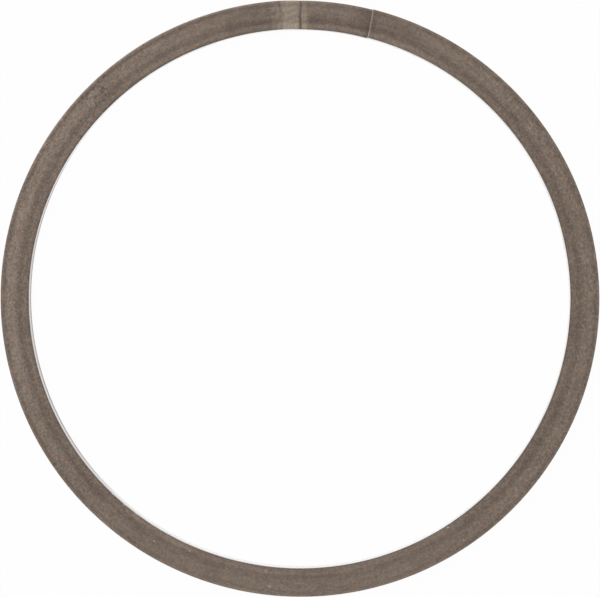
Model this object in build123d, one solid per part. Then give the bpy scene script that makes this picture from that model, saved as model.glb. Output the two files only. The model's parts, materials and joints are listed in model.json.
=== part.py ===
from build123d import *
import os
from math import cos, degrees, radians, sin

# Spiral ring, in millimetres: one length of rectangular spring wire, coiled on edge into two flat turns.
# A short crimped ramp takes the wire from the lower turn to the upper one.
# The ring lies flat on z = 0 about the Z axis, with its ramp towards +Y.
# A bearing is an angle in degrees about Z, clockwise from +Y as seen from above.

# Driving dimensions
outer_diameter = 100.5  # over the free, uncompressed ring
radial_wall = 4.85      # width of the wire, measured along a radius
wire_thickness = 1.1    # height of the wire, and of each turn
edge_radius = 0.2       # rounding of the wire's four long edges
turn_gap = 0.05         # air between the two turns
foot_bearing = 0.3      # where the ramp meets the lower turn
ramp_length = 3.5       # along the middle of the wire, from crease to crease
crease_length = 0.4     # stretch over which the wire bends at each end of the ramp
end_gap = 11.6          # from each end of the ramp to the nearest cut end of the wire
ramp_stations = 21      # equal steps in which the ramp is lofted

# Worked out from the dimensions above
outer_radius = outer_diameter / 2
inner_radius = outer_radius - radial_wall
mean_radius = outer_radius - radial_wall / 2
corner_radius = min(edge_radius, 0.45 * wire_thickness)
lower_height = wire_thickness / 2
rise = wire_thickness + turn_gap
upper_height = lower_height + rise
ramp_angle = degrees(ramp_length / mean_radius)
gap_angle = degrees(end_gap / mean_radius)
turn_angle = 360 - ramp_angle - gap_angle
head_bearing = foot_bearing - ramp_angle
lower_end_bearing = head_bearing - gap_angle


def wire_section(bearing, height):
    """The wire's rounded rectangle, upright on the radius at this bearing."""
    angle = radians(bearing)
    outward = Vector(sin(angle), cos(angle), 0)
    onward = Vector(cos(angle), -sin(angle), 0)
    plane = Plane(origin=(0, 0, height), x_dir=outward, z_dir=onward)
    outline = Pos(mean_radius, 0) * Rectangle(radial_wall, wire_thickness)
    return plane * fillet(outline.vertices(), corner_radius)


def flat_turn(bearing, height):
    """A level turn that starts at this bearing and runs anticlockwise."""
    return revolve(wire_section(bearing, height), Axis.Z, turn_angle)


def climb(distance):
    """Height gained at this distance from the ramp's foot: a straight slope between two bends."""
    slope = rise / (ramp_length - crease_length)
    left = ramp_length - distance
    if distance < crease_length:
        return slope * distance ** 2 / (2 * crease_length)
    if left < crease_length:
        return rise - slope * left ** 2 / (2 * crease_length)
    return slope * (distance - crease_length / 2)


def crimped_ramp():
    """The sloping stretch between the turns, from its foot anticlockwise to its head."""
    sections = []
    for step in range(ramp_stations + 1):
        share = step / ramp_stations
        bearing = foot_bearing - share * ramp_angle
        sections.append(wire_section(bearing, lower_height + climb(share * ramp_length)))
    return loft(sections)


def spiral_ring():
    lower_turn = flat_turn(lower_end_bearing, lower_height)
    upper_turn = flat_turn(head_bearing, upper_height)
    return lower_turn + crimped_ramp() + upper_turn


ring = spiral_ring().solid()

os.makedirs("parts", exist_ok=True)
export_step(ring, "parts/spiral_ring.step")

print(f"inner radius {inner_radius:.3f}, thickness {upper_height + wire_thickness / 2:.3f}")
print(f"each turn {turn_angle:.2f} degrees, ramp {ramp_angle:.2f} degrees")
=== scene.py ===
import json
import math
import bmesh
import bpy
from mathutils import Matrix, Vector


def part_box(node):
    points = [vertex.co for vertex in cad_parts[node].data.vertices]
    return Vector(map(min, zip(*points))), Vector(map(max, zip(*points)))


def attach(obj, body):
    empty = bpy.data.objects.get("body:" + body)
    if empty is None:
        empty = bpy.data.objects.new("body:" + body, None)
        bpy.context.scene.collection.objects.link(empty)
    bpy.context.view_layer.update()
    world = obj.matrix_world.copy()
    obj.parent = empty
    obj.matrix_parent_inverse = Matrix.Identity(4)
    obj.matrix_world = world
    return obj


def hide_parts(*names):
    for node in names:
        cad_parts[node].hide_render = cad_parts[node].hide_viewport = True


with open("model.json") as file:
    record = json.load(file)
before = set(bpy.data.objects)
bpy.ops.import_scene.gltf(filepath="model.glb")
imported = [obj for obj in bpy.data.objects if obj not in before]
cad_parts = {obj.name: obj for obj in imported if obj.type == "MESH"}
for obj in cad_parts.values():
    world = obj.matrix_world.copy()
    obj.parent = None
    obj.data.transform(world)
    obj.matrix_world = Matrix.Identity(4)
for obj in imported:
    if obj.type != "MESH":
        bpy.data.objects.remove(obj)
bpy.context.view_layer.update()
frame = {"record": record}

mm = 0.001
print("frame loaded")

# The wire and its winding. A bearing is in degrees, clockwise from +Y as seen from above.
nodeLow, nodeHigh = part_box("spiral_ring")
rims = {mount["name"]: mount["dims"] for mount in frame["record"]["mounts"] if mount["dims"]}
wire = {
    "outerRadius": min(nodeHigh.x, nodeHigh.y, -nodeLow.x, -nodeLow.y),
    "innerRadius": rims["inner_rim"]["r_mm"] * mm,
    "turnGap": 0.05 * mm,          # air between the two turns
    "edgeRadius": 0.2 * mm,
    "footBearing": 0.3,            # where the ramp meets the lower turn
    "rampLength": 3.5 * mm,        # along the middle of the wire
    "creaseLength": 0.4 * mm,      # stretch that bends at each end of the ramp
    "endGap": 11.6 * mm,           # from the ramp to the cut end, along the middle of the wire
    "cutBevel": 0.06 * mm,         # broken edge round each cut end
    "cutSlant": 3.9,               # degrees that the cut leans off the radius
}
wire["width"] = wire["outerRadius"] - wire["innerRadius"]
wire["middleRadius"] = wire["innerRadius"] + wire["width"] / 2
wire["thickness"] = (nodeHigh.z - wire["turnGap"]) / 2
wire["rise"] = wire["thickness"] + wire["turnGap"]
rampAngle = math.degrees(wire["rampLength"] / wire["middleRadius"])
gapAngle = math.degrees(wire["endGap"] / wire["middleRadius"])
turnAngle = 360 - rampAngle - gapAngle
headBearing = wire["footBearing"] - rampAngle
upperEndBearing = wire["footBearing"] + gapAngle
lowerEndBearing = headBearing - gapAngle

# Steps of the mesh, and the small nicks in the upper turn's inner rim as bearing, length and depth.
winding = {
    "faceSegments": 8,             # across each face of the wire
    "sideSegments": 2,             # up each side of it
    "cornerSegments": 4,
    "bevelSegments": 2,            # round each cut end
    "lowerSteps": (20, 21),        # stretches of a turn, and steps in each
    "upperSteps": (40, 33),        # fine enough for the nicks
    "rampSteps": 42,
    "mergeDistance": 0.005 * mm,
    "nicks": [(143.8, 0.4, 0.16), (156.2, 0.5, 0.18), (179.9, 0.9, 0.16), (181.6, 1.0, 0.18),
              (183.0, 0.4, 0.16), (217.2, 0.4, 0.14), (220.4, 0.5, 0.16), (223.8, 0.4, 0.14)],
    "nickReach": (1.05, 1.6),      # outwards over the edge and down it, in edge radii
}


def wireSection(bm):
    # The outline of a rounded rectangle, upright on +X.
    bmesh.ops.create_grid(bm, x_segments=winding["faceSegments"], y_segments=winding["sideSegments"],
                          size=0.5)
    bmesh.ops.scale(bm, vec=(wire["width"], wire["thickness"], 1), verts=bm.verts)
    corners = [vert for vert in bm.verts if len(vert.link_edges) == 2]
    bmesh.ops.bevel(bm, geom=corners, offset=wire["edgeRadius"], offset_type="OFFSET", affect="VERTICES",
                    segments=winding["cornerSegments"], profile=0.5, material=-1)
    bmesh.ops.dissolve_faces(bm, faces=bm.faces, use_verts=False)
    bmesh.ops.delete(bm, geom=bm.faces, context="FACES_ONLY")
    bmesh.ops.rotate(bm, cent=(0, 0, 0), matrix=Matrix.Rotation(math.radians(90), 3, "X"), verts=bm.verts)
    bmesh.ops.translate(bm, vec=(wire["middleRadius"], 0, wire["thickness"] / 2), verts=bm.verts)
    return bm.verts[:] + bm.edges[:]


def sectionAt(bm, section, bearing, height):
    copied = bmesh.ops.duplicate(bm, geom=section)["geom"]
    turned = Matrix.Rotation(math.radians(90 - bearing), 4, "Z")
    points = [part for part in copied if isinstance(part, bmesh.types.BMVert)]
    bmesh.ops.transform(bm, matrix=Matrix.Translation((0, 0, height)) @ turned, verts=points)
    return copied


def spinWire(bm, parts, degrees, steps, **more):
    # Anticlockwise about the axis, as seen from above.
    return bmesh.ops.spin(bm, geom=parts, axis=(0, 0, 1), cent=(0, 0, 0), angle=math.radians(degrees),
                          steps=steps, **more)["geom_last"]


def flatTurn(bm, section, bearing, height, steps):
    # One stretch is spun, and the turn is that stretch repeated.
    stretches, stretchSteps = steps
    others = set(bm.verts[:] + bm.edges[:] + bm.faces[:])
    stretchAngle = turnAngle / stretches
    spinWire(bm, sectionAt(bm, section, bearing, height), stretchAngle, stretchSteps)
    spun = [part for part in bm.verts[:] + bm.edges[:] + bm.faces[:] if part not in others]
    spinWire(bm, spun, turnAngle - stretchAngle, stretches - 1, use_duplicate=True)


def climb(distance):
    # Height gained this far up the ramp: a straight slope between two bends.
    crease = wire["creaseLength"]
    slope = wire["rise"] / (wire["rampLength"] - crease)
    left = wire["rampLength"] - distance
    if distance < crease:
        return slope * distance ** 2 / (2 * crease)
    if left < crease:
        return wire["rise"] - slope * left ** 2 / (2 * crease)
    return slope * (distance - crease / 2)


def crimpedRamp(bm, section):
    last = sectionAt(bm, section, wire["footBearing"], 0)
    steps = winding["rampSteps"]
    for step in range(steps):
        low = climb(wire["rampLength"] * step / steps)
        high = climb(wire["rampLength"] * (step + 1) / steps)
        last = spinWire(bm, last, rampAngle / steps, 1, dvec=(0, 0, high - low))


def closeCutEnds(bm):
    openEdges = [edge for edge in bm.edges if edge.is_boundary]
    for vert in {vert for edge in openEdges for vert in edge.verts}:
        shift = (wire["middleRadius"] - vert.co.xy.length) * math.tan(math.radians(wire["cutSlant"]))
        if vert.co.z < wire["thickness"]:
            shift = -shift             # the lower end is the upper one turned over
        turned = Matrix.Rotation(-shift / vert.co.xy.length, 2)
        vert.co.xy = turned @ vert.co.xy
    caps = bmesh.ops.holes_fill(bm, edges=openEdges, sides=0)["faces"]
    rimEdges = [edge for cap in caps for edge in cap.edges]
    bmesh.ops.bevel(bm, geom=rimEdges, offset=wire["cutBevel"], offset_type="OFFSET", affect="EDGES",
                    segments=winding["bevelSegments"], profile=0.5, material=-1, clamp_overlap=True)


def nickInnerRim(bm):
    # Pushes the upper turn's top inner edge outwards at each nick.
    outwards, down = winding["nickReach"]
    reach = wire["innerRadius"] + outwards * wire["edgeRadius"]
    lowest = nodeHigh.z - down * wire["edgeRadius"]
    rim = [vert for vert in bm.verts if vert.co.z > lowest and vert.co.xy.length < reach]
    for vert in rim:
        bearing = math.degrees(math.atan2(vert.co.x, vert.co.y)) % 360
        for centre, length, depth in winding["nicks"]:
            along = math.radians(abs(bearing - centre)) * wire["innerRadius"] / (length * mm / 2)
            if along < 1:
                inward = min(1, (reach - vert.co.xy.length) / wire["edgeRadius"])
                height = min(1, (vert.co.z - lowest) / wire["edgeRadius"])
                vert.co.xy *= 1 + depth * mm * (1 - along ** 2) * inward * height / wire["innerRadius"]


def buildRing():
    bm = bmesh.new()
    section = wireSection(bm)
    flatTurn(bm, section, lowerEndBearing, 0, winding["lowerSteps"])
    crimpedRamp(bm, section)
    flatTurn(bm, section, headBearing, wire["rise"], winding["upperSteps"])
    pattern = [part for part in section if isinstance(part, bmesh.types.BMVert)]
    bmesh.ops.delete(bm, geom=pattern, context="VERTS")
    bmesh.ops.remove_doubles(bm, verts=bm.verts, dist=winding["mergeDistance"])
    closeCutEnds(bm)
    nickInnerRim(bm)
    bmesh.ops.recalc_face_normals(bm, faces=bm.faces)
    ringMesh = bpy.data.meshes.new("spiralRing")
    bm.to_mesh(ringMesh)
    bm.free()
    ringMesh.polygons.foreach_set("use_smooth", [True] * len(ringMesh.polygons))
    piece = bpy.data.objects.new("spiralRing", ringMesh)
    bpy.context.scene.collection.objects.link(piece)
    return piece


spiralRing = buildRing()
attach(spiralRing, "root")
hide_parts("spiral_ring")
print("ring wound:", len(spiralRing.data.polygons), "faces")


def addNode(tree, kind, inputs, **settings):
    node = tree.nodes.new("ShaderNode" + kind)
    for name, value in settings.items():
        setattr(node, name, value)
    for name, value in inputs.items():
        if isinstance(value, bpy.types.NodeSocket):
            tree.links.new(value, node.inputs[name])
        else:
            node.inputs[name].default_value = value
    return node


def calc(tree, operation, *values):
    return addNode(tree, "Math", dict(enumerate(values)), operation=operation).outputs[0]


def move(tree, operation, *values):
    node = addNode(tree, "VectorMath", dict(enumerate(values)), operation=operation)
    return node.outputs["Value" if operation in ("LENGTH", "DISTANCE", "DOT_PRODUCT") else "Vector"]


def plus(tree, *values):
    total = values[0]
    for value in values[1:]:
        total = calc(tree, "ADD", total, value)
    return total


def times(tree, *values):
    total = values[0]
    for value in values[1:]:
        total = calc(tree, "MULTIPLY", total, value)
    return total


def without(tree, mask):
    return calc(tree, "SUBTRACT", 1, mask)


def fade(tree, value, start, end, low=0.0, high=1.0):
    # Goes smoothly from low at start to high at end.
    inputs = {"Value": value, "From Min": start, "From Max": end, "To Min": low, "To Max": high}
    return addNode(tree, "MapRange", inputs, interpolation_type="SMOOTHSTEP").outputs[0]


def stretch(tree, value, places):
    # A stretch is where it starts, is full, begins to fade and ends. One of two numbers doesn't end.
    mask = fade(tree, value, places[0], places[1])
    if len(places) == 2:
        return mask
    return times(tree, mask, fade(tree, value, places[3], places[2]))


def between(tree, value, low, high, soft):
    return stretch(tree, value, (low - soft, low + soft, high - soft, high + soft))


def cloud(tree, place, scale, detail=2.0):
    # Noise about zero.
    inputs = {"Vector": place, "Scale": scale, "Detail": detail}
    return calc(tree, "SUBTRACT", addNode(tree, "TexNoise", inputs).outputs[0], 0.5)


def spread(tree, scale, vector):
    return addNode(tree, "VectorMath", {0: vector, "Scale": scale}, operation="SCALE").outputs["Vector"]


def pointAt(bearing, radius):
    angle = math.radians(bearing)
    return Vector((math.sin(angle), math.cos(angle), 0)) * radius


def wirePlaces(tree):
    # The underside has the same finish as the upper side, turned over about the middle of the ramp.
    source = addNode(tree, "TexCoord", {})
    place = spread(tree, 1 / mm, source.outputs["Object"])
    facing = addNode(tree, "SeparateXYZ", {0: source.outputs["Normal"]}).outputs["Z"]
    mirror = pointAt((wire["footBearing"] + headBearing) / 2 + 90, 1)
    turnedOver = move(tree, "REFLECT", place, mirror)
    under = calc(tree, "LESS_THAN", facing, finish["underFacing"])
    place = addNode(tree, "Mix", {0: under, 4: place, 5: turnedOver}, data_type="VECTOR").outputs[1]
    flat = move(tree, "MULTIPLY", place, (1, 1, 0))
    x, y, z = addNode(tree, "SeparateXYZ", {0: place}).outputs
    radius = move(tree, "LENGTH", flat)
    fromInside = calc(tree, "SUBTRACT", radius, wire["innerRadius"] / mm)
    across = calc(tree, "DIVIDE", fromInside, wire["width"] / mm)
    bearing = calc(tree, "DEGREES", calc(tree, "ARCTAN2", x, y))
    outward = move(tree, "NORMALIZE", flat)
    return {"place": place, "flat": flat, "radius": radius, "across": across, "bearing": bearing,
            "outward": outward, "height": z, "facing": facing}


def alongWire(tree, spot, along, across):
    # Noise coordinates that follow the wire round without a seam.
    circle = spread(tree, along * wire["middleRadius"] / mm, spot["outward"])
    side = times(tree, plus(tree, spot["radius"], spot["height"]), across)
    return move(tree, "ADD", circle, addNode(tree, "CombineXYZ", {"Z": side}).outputs[0])


def past(tree, spot, bearing):
    # Distance along the wire, clockwise from a bearing near the joint.
    angle = calc(tree, "RADIANS", calc(tree, "SUBTRACT", spot["bearing"], bearing))
    return times(tree, angle, spot["radius"])


def facesTowards(tree, spot, bearing, start, full):
    # 1 on the side of the ring that lies towards this bearing.
    return fade(tree, move(tree, "DOT_PRODUCT", spot["outward"], pointAt(bearing, 1)), start, full)


# Finish of the wire's faces. Bearings are in degrees and lengths in mm. Places across the wire go from 0
# inside to 1 outside. Tones are in steps of a fiftieth, up or down from the plain colour. A side of the ring
# is the bearing that it lies towards, and the cosines at which it starts and is full.
allAcross = (-2, -1)
finish = {
    "plain": (0.1745, 0.1345, 0.108),      # oiled brown-grey scale
    "wornAndSheen": (0.292, 0.24, 0.189),          # where the scale is rubbed thin, and paler as a painted highlight on the ramp
    "fleckAndGlint": (0.46, 0.39, 0.35),           # grey grains; also the painted glint and the cut end's pale edge
    "metallic": 0.8,
    "roughness": (-20, 30, 0.55, 0.4),     # a dark tone and a pale one, and the roughness of each
    "bump": (0.25, 0.004),                 # strength and depth
    "underFacing": -0.3,                   # how far a face looks down to be the underside
    "toneStep": 1.02,
    "toneHue": (0.94, 1.0, 0.975),         # share of a tone's step in red, green and blue
    "toneRange": 40,                       # of the curve below
    # painted shade on the inner rounded edge and a painted highlight on the outer one, with uneven bands
    # between
    "toneAcross": [(0.0, -20), (0.035, -11), (0.075, -3), (0.14, 0), (0.2, -1), (0.25, -5), (0.31, -8),
                   (0.36, -6), (0.43, -1), (0.5, 4), (0.56, 5), (0.64, 4), (0.72, 6), (0.78, 3), (0.83, -1),
                   (0.89, -5), (0.94, 3), (1.0, 7)],
    "evenSide": ((180, 0.6, 0.98), 0.55),  # side where that curve is flatter, and its share there
    "sideBands": [
        # side, stretch across, tone
        ((0, 0.75, 0.95), (0.0, 0.1, 0.18, 0.28), 7),
        ((180, 0.6, 0.98), allAcross, 2),
        ((180, 0.6, 0.98), (-0.01, 0.09, 0.15, 0.25), 4),
        ((190, 0.6, 0.98), (0.8, 0.92), 6),
        ((211, 0.985, 0.997), (0.22, 0.1), 9),
        # painted highlight: the outer half is lighter on the left side, where the light falls
        ((272, 0.75, 1.0), (0.4, 0.6, 0.78, 0.98), 7),
        ((318, 0.8, 1.0), (0.77, 0.83, 0.85, 0.91), -6),
        ((318, 0.5, 0.9), (0.93, 0.99), 8),
    ],
    "mottle": [(3.4, 44, 67), (1.5, 13, 20)],      # frequency, tone at the front and back, tone at the sides
    "mottleLength": 0.7,                   # share of its frequency along the wire
    "mottleSides": (0.4, 0.85),
    "striae": (2.8, 0.3, 11),              # frequencies along and across, tone
    "streak": (0.3, 1.6, 26),
    "dashes": (0.8, 2.6, -12),
    "dashNoise": (0.04, 0.2),              # the noise at which a dash starts and is full
    "dashesAcross": (0.79, 0.85, 0.89, 0.95),
    "specks": (2.6, -16),                  # frequency, tone
    "speckNoise": (0.22, 0.34),
    "specksAcross": (0.6, 0.3, 0.3, 1),    # two places across, and their share at each
    "blotch": (0.11, 12),
    "hueFrequency": 1.15,
    "hueSpread": (0.26, 0.16, 0.33),
}


def toneAcross(tree, across):
    curve = addNode(tree, "FloatCurve", {"Value": across})
    line = curve.mapping.curves[0]
    stops = finish["toneAcross"]
    while len(line.points) < len(stops):
        line.points.new(0.5, 0.5)
    for point, (at, tone) in zip(line.points, stops):
        point.location = (at, 0.5 + tone / finish["toneRange"])
    curve.mapping.update()
    return times(tree, calc(tree, "SUBTRACT", curve.outputs[0], 0.5), finish["toneRange"])


def bandTones(tree, spot):
    # Bands along the wire, some of them on one side of the ring only.
    across = spot["across"]
    side, share = finish["evenSide"]
    flatter = fade(tree, facesTowards(tree, spot, *side), 0, 1, 1, share)
    tones = [times(tree, toneAcross(tree, across), flatter)]
    for side, place, tone in finish["sideBands"]:
        tones.append(times(tree, facesTowards(tree, spot, *side), stretch(tree, across, place), tone))
    along, crossways, tone = finish["dashes"]
    noise = cloud(tree, alongWire(tree, spot, along, crossways), 1.0)
    dashes = times(tree, stretch(tree, noise, finish["dashNoise"]), tone)
    tones.append(times(tree, dashes, stretch(tree, across, finish["dashesAcross"])))
    return plus(tree, *tones)


def scaleTones(tree, spot):
    # The scale's streaks, mottling, specks and blotches.
    tones = []
    for name in ("streak", "striae"):
        along, crossways, tone = finish[name]
        tones.append(times(tree, cloud(tree, alongWire(tree, spot, along, crossways), 1.0, 3), tone))
    sideways = calc(tree, "ABSOLUTE", addNode(tree, "SeparateXYZ", {0: spot["outward"]}).outputs["X"])
    for frequency, tone, sideTone in finish["mottle"]:
        grain = cloud(tree, alongWire(tree, spot, frequency * finish["mottleLength"], frequency), 1.0)
        tones.append(times(tree, grain, fade(tree, sideways, *finish["mottleSides"], tone, sideTone)))
    frequency, tone = finish["specks"]
    specks = times(tree, stretch(tree, cloud(tree, spot["place"], frequency, 0), finish["speckNoise"]), tone)
    tones.append(times(tree, specks, fade(tree, spot["across"], *finish["specksAcross"])))
    frequency, tone = finish["blotch"]
    tones.append(times(tree, cloud(tree, spot["place"], frequency, 1), tone))
    return plus(tree, *tones)


# Wear, and painted light and shade, at the joint. Places along the wire are in mm past the ramp's head or
# foot or the cut end.
joint = {
    "wobble": (1.0, 0.5),                  # frequency, and how far it moves the head and foot lines
    "patchFrequency": 1.6,                 # of the uneven wear
    # The ramp is rubbed pale, and painted paler still as a highlight on its slope.
    "rubbedAndSheen": ((-0.05, 0.75), (-0.1, -0.24)),      # stretches from the head and from the foot
    "rubbedAndSheenShare": 0.9,
    "rubbedAndSheenPatches": 14,
    "rubbedAndSheenTones": [(allAcross, -3), ((0.48, 0.36), 11), ((0.75, 0.9), 5)],
    "approach": ((-1.6, -1.0, -0.1, 0.5), 45),     # stretch from the head, and tone of its patches
    "arris": (-0.16, 0.02, 0.08, 0.26),    # the cut end's broken edge, bare metal painted pale, partly a painted highlight along it
    "arrisShare": 0.45,
    "shading": [
        # line, stretch along, stretch across, tone
        ("head", (-10.0, -8.0, -2.3, -0.3), (0.9, 0.7), -6),
        ("head", (-2.6, -1.8, -0.9, -0.1), (0.04, 0.2, 0.52, 0.68), -4),
        ("head", (-1.6, -1.0, -0.1, 0.5), allAcross, 4),
        ("head", (-1.6, -1.0, 0.0, 0.6), (0.42, 0.28), 6),
        ("head", (-0.15, 0.15, 0.55, 0.85), (0.51, 0.61, 0.71, 0.81), -7),
        ("head", (-0.15, 0.15, 0.55, 0.85), (0.8, 0.9), 6),
        ("head", (-0.08, 0.12, 0.1, 0.3), (0.35, 0.5), -16),
        ("foot", (-0.05, 0.25, 0.7, 1.4), allAcross, 10),
        ("foot", (-0.05, 0.25, 0.7, 1.4), (0.66, 0.5), 10),
        ("foot", (0.6, 1.4, 4.1, 4.9), (0.78, 0.86), 6),
        # Just before the cut end: darker inside, and painted lighter outside to offset the shade of the step
        # above.
        ("end", (-0.65, -0.35, -0.2, 0.1), allAcross, -4),
        ("end", (-0.65, -0.35, -0.2, 0.1), (0.3, 0.7), 9),
        ("end", (-0.16, 0.02, 0.08, 0.26), (0.9, 0.25), -4),
        ("end", (0.1, 0.4, 0.85, 1.15), (0.02, 0.22, 0.8, 1.0), -8),
        ("end", (-3.8, 4.2, 5.0, 13.0), (0.28, 0.44, 0.7, 0.86), -11),
    ],
    "gap": ((0.1, 0.3), (0.02, -0.02)),    # stretches from the foot and from the cut end
    "gapShading": [
        ("foot", (3.0, 4.5), (0.5, 0.62, 0.78, 0.9), -5),
        # painted shadow of the cut end on the lower turn
        ("end", (-3.5, -1.0), (-0.03, 0.27, 0.7, 1.0), -5),
    ],
}
# Painted shade in the crease where the ramp meets the lower turn.
footCreaseShade = {
    "place": -0.15,                        # past the foot
    "halfWidth": 0.1,
    "unevenness": 0.24,
    "blur": 0.24,
    "across": (0.03, 0.07, 0.95, 0.99),
    "tones": (0.72, 0.88, -22, -13),       # two places across, and the tone at each
}
darkBand = {
    "start": (0.9, 1.5),                   # past the foot
    "inside": (0.18, 0.3),
    "outside": (1.3, 2.4, 0.42, 0.55),     # two distances past the foot, and how far across it is at each
    "blur": 0.06,
    "tones": (0.9, 5.0, -10, -5),          # two distances, and the tone at each
}


def jointLines(tree, spot):
    # Distances from the ramp's head and foot, a little wavy, and from the slanting cut end.
    frequency, reach = joint["wobble"]
    wobble = times(tree, cloud(tree, spot["place"], frequency), reach)
    slope = wire["width"] / mm * math.tan(math.radians(wire["cutSlant"]))
    slant = times(tree, calc(tree, "SUBTRACT", spot["across"], 0.5), slope)
    return {
        "head": plus(tree, past(tree, spot, headBearing), wobble),
        "foot": plus(tree, past(tree, spot, wire["footBearing"]), wobble),
        "end": plus(tree, past(tree, spot, upperEndBearing), slant),
    }


def shadingTone(tree, across, lines, shading):
    tones = []
    for line, along, place, tone in shading:
        tones.append(times(tree, stretch(tree, lines[line], along), stretch(tree, across, place), tone))
    return plus(tree, *tones)


def footCreaseShadeTone(tree, across, foot, patches):
    # Painted shade in the crease at the ramp's foot, uneven in width.
    width = plus(tree, footCreaseShade["halfWidth"], times(tree, patches, footCreaseShade["unevenness"]))
    away = calc(tree, "ABSOLUTE", calc(tree, "SUBTRACT", foot, footCreaseShade["place"]))
    crease = fade(tree, away, plus(tree, width, footCreaseShade["blur"]), width)
    tone = fade(tree, across, *footCreaseShade["tones"])
    return times(tree, crease, stretch(tree, across, footCreaseShade["across"]), tone)


def darkBandTone(tree, across, foot):
    # A dark band on the lower turn, which widens just past the ramp.
    outside = calc(tree, "SUBTRACT", fade(tree, foot, *darkBand["outside"]), across)
    inBand = times(tree, stretch(tree, across, darkBand["inside"]),
                   fade(tree, outside, -darkBand["blur"], darkBand["blur"]))
    return times(tree, stretch(tree, foot, darkBand["start"]), inBand, fade(tree, foot, *darkBand["tones"]))


def jointTones(tree, spot):
    # The rubbed ramp, pale partly as a painted highlight, the painted shade in the crease at its foot, and
    # the shading in the gap and beside the cut end, with a painted shadow of the cut end. Gives the tone,
    # how worn and painted pale the ramp is, and how grey the cut end's edge is.
    across = spot["across"]
    lines = jointLines(tree, spot)
    head, foot, end = lines.values()
    patches = cloud(tree, spot["place"], joint["patchFrequency"], 3)
    fromHead, toFoot = joint["rubbedAndSheen"]
    rubbedAndSheen = times(tree, stretch(tree, plus(tree, head, patches), fromHead), stretch(tree, foot, toFoot))
    rubbedAndSheenTones = [times(tree, stretch(tree, across, place), tone) for place, tone in joint["rubbedAndSheenTones"]]
    rubbedAndSheenTone = times(tree, rubbedAndSheen, plus(tree, times(tree, patches, joint["rubbedAndSheenPatches"]), *rubbedAndSheenTones))
    along, tone = joint["approach"]
    approachTone = times(tree, stretch(tree, head, along), patches, tone)
    fromFoot, toEnd = joint["gap"]
    inGap = times(tree, stretch(tree, foot, fromFoot), stretch(tree, end, toEnd))
    gapTone = plus(tree, shadingTone(tree, across, lines, joint["gapShading"]),
                   darkBandTone(tree, across, foot))
    total = plus(tree, rubbedAndSheenTone, approachTone, footCreaseShadeTone(tree, across, foot, patches),
                 shadingTone(tree, across, lines, joint["shading"]), times(tree, gapTone, inGap))
    arris = stretch(tree, end, joint["arris"])
    return total, times(tree, rubbedAndSheen, joint["rubbedAndSheenShare"]), times(tree, arris, joint["arrisShare"])


# Small marks on the wire's faces.
marks = {
    # bearing, radius, size, tone
    # The first, at the inner corner of the cut end, is a painted glint.
    "spots": [(14.4, 45.55, 0.16, 50), (116.2, 45.8, 0.16, 22), (117.8, 47.9, 0.16, 15),
              (134.7, 45.5, 0.18, 26), (138.4, 46.3, 0.18, 26), (145.0, 49.0, 0.2, 30),
              (146.2, 45.7, 0.22, 60), (185.6, 48.7, 0.24, 34), (186.7, 46.1, 0.3, 17),
              (203.4, 46.3, 0.2, 24), (210.9, 47.6, 0.2, 36), (229.4, 46.6, 0.14, -18),
              (283.4, 49.7, 0.26, -18), (287.4, 47.1, 0.2, -14), (313.4, 49.6, 0.32, -18),
              (313.5, 48.9, 0.18, 18), (314.1, 46.9, 0.26, -14), (314.5, 49.5, 0.3, -22),
              (314.6, 48.5, 0.18, -26), (314.8, 49.0, 0.18, 20), (316.1, 49.5, 0.28, -20),
              (316.3, 46.8, 0.3, -14), (317.7, 49.5, 0.26, -14), (319.2, 49.7, 0.34, -20)],
    "spotCore": 0.4,                       # share of a spot's size that is full
    "fleckTone": 60,                       # at which a pale spot is all grey
    "scratch": (229.2, 45.9, 47.3, -20),   # bearing, two radii, tone
    "scratchWidth": (0.13, 0.05),
    "scratchBlur": 0.1,
    "scuffPlace": (315.6, 48.0),           # bearing and radius
    "scuffSize": (2.6, 2.2),               # half its length and width
    "scuffEdge": (1.0, 0.6),               # shares of its size at which it starts and is full
    "scuffGrey": (0.13, -8),               # share of grey, and the tone that goes with it
    "pits": (1.9, (0.03, 0.14), -22),      # frequency, noise at which they start and are full, tone
    "grains": (2.2, (0.08, 0.2), 20),
    "grainShift": (7, 3, 5),
}


def scratchTone(tree, spot):
    bearing, inner, outer, tone = marks["scratch"]
    sideways = calc(tree, "ABSOLUTE", move(tree, "DOT_PRODUCT", spot["flat"], pointAt(bearing + 90, 1)))
    forward = move(tree, "DOT_PRODUCT", spot["flat"], pointAt(bearing, 1))
    length = between(tree, forward, inner, outer, marks["scratchBlur"])
    return times(tree, stretch(tree, sideways, marks["scratchWidth"]), length, tone)


def scuffMask(tree, spot):
    bearing, radius = marks["scuffPlace"]
    offset = move(tree, "SUBTRACT", spot["flat"], pointAt(bearing, radius))
    squares = []
    for direction, half in zip((bearing + 90, bearing), marks["scuffSize"]):
        share = calc(tree, "DIVIDE", move(tree, "DOT_PRODUCT", offset, pointAt(direction, 1)), half)
        squares.append(times(tree, share, share))
    return stretch(tree, calc(tree, "SQRT", plus(tree, *squares)), marks["scuffEdge"])


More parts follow.
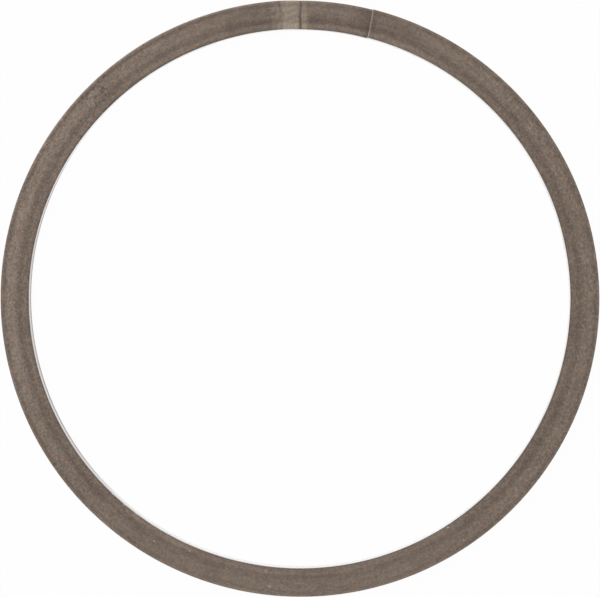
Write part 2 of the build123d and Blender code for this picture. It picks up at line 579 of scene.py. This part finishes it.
def markTones(tree, spot):
    # Grey flecks, one of them a painted glint, and dark spots, one dark scratch, and a scuffed patch. Gives
    # the tone, and how grey it is.
    tones = [scratchTone(tree, spot)]
    flecksAndGlints = []
    for bearing, radius, size, tone in marks["spots"]:
        away = move(tree, "DISTANCE", spot["flat"], pointAt(bearing, radius))
        mark = fade(tree, away, size, size * marks["spotCore"])
        if tone > 0:
            flecksAndGlints.append(times(tree, mark, tone / marks["fleckTone"]))
        else:
            tones.append(times(tree, mark, tone))
    scuff = scuffMask(tree, spot)
    greyness, greyTone = marks["scuffGrey"]
    frequency, noise, tone = marks["pits"]
    pits = times(tree, stretch(tree, cloud(tree, spot["place"], frequency), noise), tone)
    frequency, noise, tone = marks["grains"]
    shifted = move(tree, "ADD", spot["place"], marks["grainShift"])
    grains = times(tree, stretch(tree, cloud(tree, shifted, frequency, 1), noise), tone)
    flecksAndGlints.append(times(tree, scuff, greyness))
    tones.append(times(tree, scuff, plus(tree, pits, grains, greyTone)))
    return plus(tree, *tones), plus(tree, *flecksAndGlints)


# The wire's upright sides. The inner one is bright steel painted near white, a painted reflection of the
# white floor and lamp, with painted shade at the left and towards its foot. The painted white reaches
# furthest over its rounding at the left and back, and least at the front.
walls = {
    "inner": (0.97, 0.96, 0.95),           # bright steel, painted near white as a painted reflection
    "boreShade": (0.38, 0.305, 0.27),           # painted shade on the bore at the left
    "outer": (0.30, 0.265, 0.235),
    "insideAcross": (0.06, 0.045),
    "outsideAcross": (0.94, 0.955),
    "facing": (0.35, 0.1),                 # how far up a face looks where its wall starts and is full
    "leftEdge": ((262, 0.55, 0.85), 0.6, 0.0),     # side, and what it adds to those two
    "backEdge": ((30, 0.3, 0.85), 0.62, 0.65),
    "shadedRim": ((160, 0.2, 0.95), (1.4, 1.95)),   # side, and heights where the top inner rounding keeps the face's painted shade
    "groove": (0.8, 0.03),                 # its lowest height, in edge radii, and its blur
    "grooveAcross": (0.036, 0.022),
    "jointReach": (0.4, 0.1),              # degrees past the ramp's head, and their blur
    "boreShadeSide": (264, 0.72, 0.92),
    "boreShadeHeights": (1.15, 0.6),
    "boreShadeShares": (0.26, 0.7),             # painted shade over all that side, and what its foot adds
    "lines": (0.12, 5.0, -22),             # fine lines along the inner wall
    "lineNoise": (0.0, 0.3),
}


def grooveMask(tree, spot):
    # Where the turns meet, the bore's painted white also covers their roundings and paints out the groove's
    # shade, except at the joint.
    rounding = wire["edgeRadius"] / mm
    lowest, blur = walls["groove"]
    turnsMeet = between(tree, spot["height"], lowest * rounding, nodeHigh.z / mm - rounding, blur)
    beyond, blur = walls["jointReach"]
    atJoint = between(tree, spot["bearing"], headBearing - beyond, upperEndBearing, blur)
    inGroove = stretch(tree, spot["across"], walls["grooveAcross"])
    return times(tree, turnsMeet, without(tree, atJoint), inGroove)


def wallMasks(tree, spot):
    across = spot["across"]
    inside = stretch(tree, across, walls["insideAcross"])
    start, full = walls["facing"]
    for name in ("leftEdge", "backEdge"):
        side, startMore, fullMore = walls[name]
        edge = times(tree, facesTowards(tree, spot, *side), inside)
        start = plus(tree, start, times(tree, edge, startMore))
        full = plus(tree, full, times(tree, edge, fullMore))
    wall = fade(tree, calc(tree, "ABSOLUTE", spot["facing"]), start, full)
    # At the front, the top inner rounding keeps the face colour with its painted shade instead of the
    # painted white.
    side, heights = walls["shadedRim"]
    shadedRim = times(tree, facesTowards(tree, spot, *side), stretch(tree, spot["height"], heights))
    # Where the bore is painted near white, as a painted reflection.
    pale = calc(tree, "MAXIMUM", wall, grooveMask(tree, spot))
    innerWall = times(tree, pale, inside, without(tree, shadedRim))
    # Painted shade on the bore at the left, deepening towards its foot.
    overall, atFoot = walls["boreShadeShares"]
    share = plus(tree, overall, times(tree, stretch(tree, spot["height"], walls["boreShadeHeights"]), atFoot))
    shadedBore = times(tree, innerWall, facesTowards(tree, spot, *walls["boreShadeSide"]), share)
    outerWall = times(tree, wall, stretch(tree, across, walls["outsideAcross"]))
    return innerWall, shadedBore, outerWall


def wallLines(tree, spot):
    along, crossways, tone = walls["lines"]
    noise = cloud(tree, alongWire(tree, spot, along, crossways), 1.0, 3)
    return times(tree, stretch(tree, noise, walls["lineNoise"]), tone)


def shade(tree, spot, tone, colour):
    # Turns a tone into a brightness of each channel, and lets the hue drift a little from place to place.
    channels = [calc(tree, "POWER", finish["toneStep"] ** share, tone) for share in finish["toneHue"]]
    brightness = addNode(tree, "CombineXYZ", dict(enumerate(channels))).outputs[0]
    inputs = {"Vector": spot["place"], "Scale": finish["hueFrequency"], "Detail": 2.0}
    drift = move(tree, "SUBTRACT", addNode(tree, "TexNoise", inputs).outputs[1], (0.5, 0.5, 0.5))
    tint = move(tree, "MULTIPLY_ADD", drift, finish["hueSpread"], (1, 1, 1))
    return move(tree, "MULTIPLY", move(tree, "MULTIPLY", colour, brightness), tint)


def oiledSpringWire():
    material = bpy.data.materials.new("oiledSpringWire")
    material.use_nodes = True
    tree = material.node_tree
    spot = wirePlaces(tree)
    jointTone, wornAndSheen, arris = jointTones(tree, spot)
    markTone, flecksAndGlints = markTones(tree, spot)
    innerWall, shadedBore, outerWall = wallMasks(tree, spot)
    layers = [(wornAndSheen, finish["wornAndSheen"]), (plus(tree, flecksAndGlints, arris), finish["fleckAndGlint"]),
              (outerWall, walls["outer"]), (innerWall, walls["inner"]), (shadedBore, walls["boreShade"])]
    colour = finish["plain"] + (1,)
    for mask, layer in layers:
        mix = addNode(tree, "Mix", {0: mask, 6: colour, 7: layer + (1,)}, data_type="RGBA")
        colour = mix.outputs[2]
    tone = plus(tree, bandTones(tree, spot), scaleTones(tree, spot), jointTone, markTone)
    faceTone = times(tree, tone, without(tree, innerWall))
    boreTone = times(tree, wallLines(tree, spot), innerWall)
    strength, depth = finish["bump"]
    bump = addNode(tree, "Bump", {"Strength": strength, "Distance": depth * mm, "Height": tone})
    shader = tree.nodes["Principled BSDF"]
    tree.links.new(shade(tree, spot, plus(tree, faceTone, boreTone), colour), shader.inputs["Base Color"])
    tree.links.new(fade(tree, tone, *finish["roughness"]), shader.inputs["Roughness"])
    tree.links.new(bump.outputs[0], shader.inputs["Normal"])
    shader.inputs["Metallic"].default_value = finish["metallic"]
    return material


spiralRing.data.materials.append(oiledSpringWire())
print("wire finished")


# The floor is white to the camera, and keeps a faint shadow under the ring.
studio = {
    "floorSize": 3.0,
    "floorDrop": 0.02 * mm,        # under the ring
    "floorShade": 0.9,
    "floorGlow": 0.965,            # share of its plain white to the camera and in reflections
    "worldShade": 0.7,
    "worldGlow": 1.0,              # to the camera and in reflections
    "keyPlace": (-0.9, 0.95, 1.6),
    "keySize": 1.2,
    "keyPower": 9.0,
}


def seenDirectly(tree):
    # 1 for rays from the camera, from reflections and through glass.
    path = addNode(tree, "LightPath", {})
    direct = calc(tree, "MAXIMUM", path.outputs["Is Camera Ray"], path.outputs["Is Glossy Ray"])
    return calc(tree, "MAXIMUM", direct, path.outputs["Is Transmission Ray"])


def paleFloor():
    material = bpy.data.materials.new("paleFloor")
    material.use_nodes = True
    tree = material.node_tree
    tree.nodes.remove(tree.nodes["Principled BSDF"])
    matt = addNode(tree, "BsdfDiffuse", {"Color": (studio["floorShade"],) * 3 + (1,)})
    glow = addNode(tree, "Emission", {})
    share = times(tree, seenDirectly(tree), studio["floorGlow"])
    mix = addNode(tree, "MixShader", {0: share, 1: matt.outputs[0], 2: glow.outputs[0]})
    tree.links.new(mix.outputs[0], tree.nodes["Material Output"].inputs["Surface"])
    return material


def makeFloor():
    bm = bmesh.new()
    bmesh.ops.create_grid(bm, x_segments=1, y_segments=1, size=studio["floorSize"] / 2)
    floorMesh = bpy.data.meshes.new("floor")
    bm.to_mesh(floorMesh)
    bm.free()
    piece = bpy.data.objects.new("floor", floorMesh)
    bpy.context.scene.collection.objects.link(piece)
    piece.location.z = -studio["floorDrop"]
    return piece


def makeWorld():
    world = bpy.data.worlds.new("studio")
    bpy.context.scene.world = world
    world.use_nodes = True
    tree = world.node_tree
    background = tree.nodes["Background"]
    strength = fade(tree, seenDirectly(tree), 0, 1, studio["worldShade"], studio["worldGlow"])
    background.inputs["Color"].default_value = (1, 1, 1, 1)
    tree.links.new(strength, background.inputs["Strength"])


def makeKeyLamp():
    key = bpy.data.lights.new("key", "AREA")
    key.size = studio["keySize"]
    key.energy = studio["keyPower"]
    keyLamp = bpy.data.objects.new("key", key)
    keyLamp.location = studio["keyPlace"]
    keyLamp.rotation_euler = (-Vector(studio["keyPlace"])).to_track_quat("-Z", "Y").to_euler()
    bpy.context.scene.collection.objects.link(keyLamp)


floor = makeFloor()
floor.data.materials.append(paleFloor())
makeWorld()
makeKeyLamp()
print("studio set")


# The camera looks down from a little right of and behind the ring's middle, with +Y up in the picture.
view = {
    "distance": 300 * mm,
    "leanRight": 1.8,              # degrees off straight above, towards +X
    "leanUp": 5.11,                # towards +Y
    "roll": 0.194,                 # degrees that the picture is turned clockwise
    "aim": (0.2756 * mm, 0.752 * mm, nodeHigh.z),
    "lens": 107.409,
    "nearest": 0.01,
}


def placeCamera():
    lean = (math.tan(math.radians(view["leanRight"])), math.tan(math.radians(view["leanUp"])), 1)
    backward = Vector(lean).normalized()
    rightward = Vector((0, 1, 0)).cross(backward).normalized()
    rightward.rotate(Matrix.Rotation(math.radians(view["roll"]), 3, backward))
    turned = Matrix((rightward, backward.cross(rightward), backward)).transposed().to_4x4()
    cameraData = bpy.data.cameras.new("camera")
    cameraData.lens = view["lens"]
    cameraData.clip_start = view["nearest"]
    camera = bpy.data.objects.new("camera", cameraData)
    camera.matrix_world = Matrix.Translation(Vector(view["aim"]) + backward * view["distance"]) @ turned
    bpy.context.scene.collection.objects.link(camera)
    bpy.context.scene.camera = camera


placeCamera()
bpy.context.scene.view_settings.view_transform = "Standard"
print("camera set")
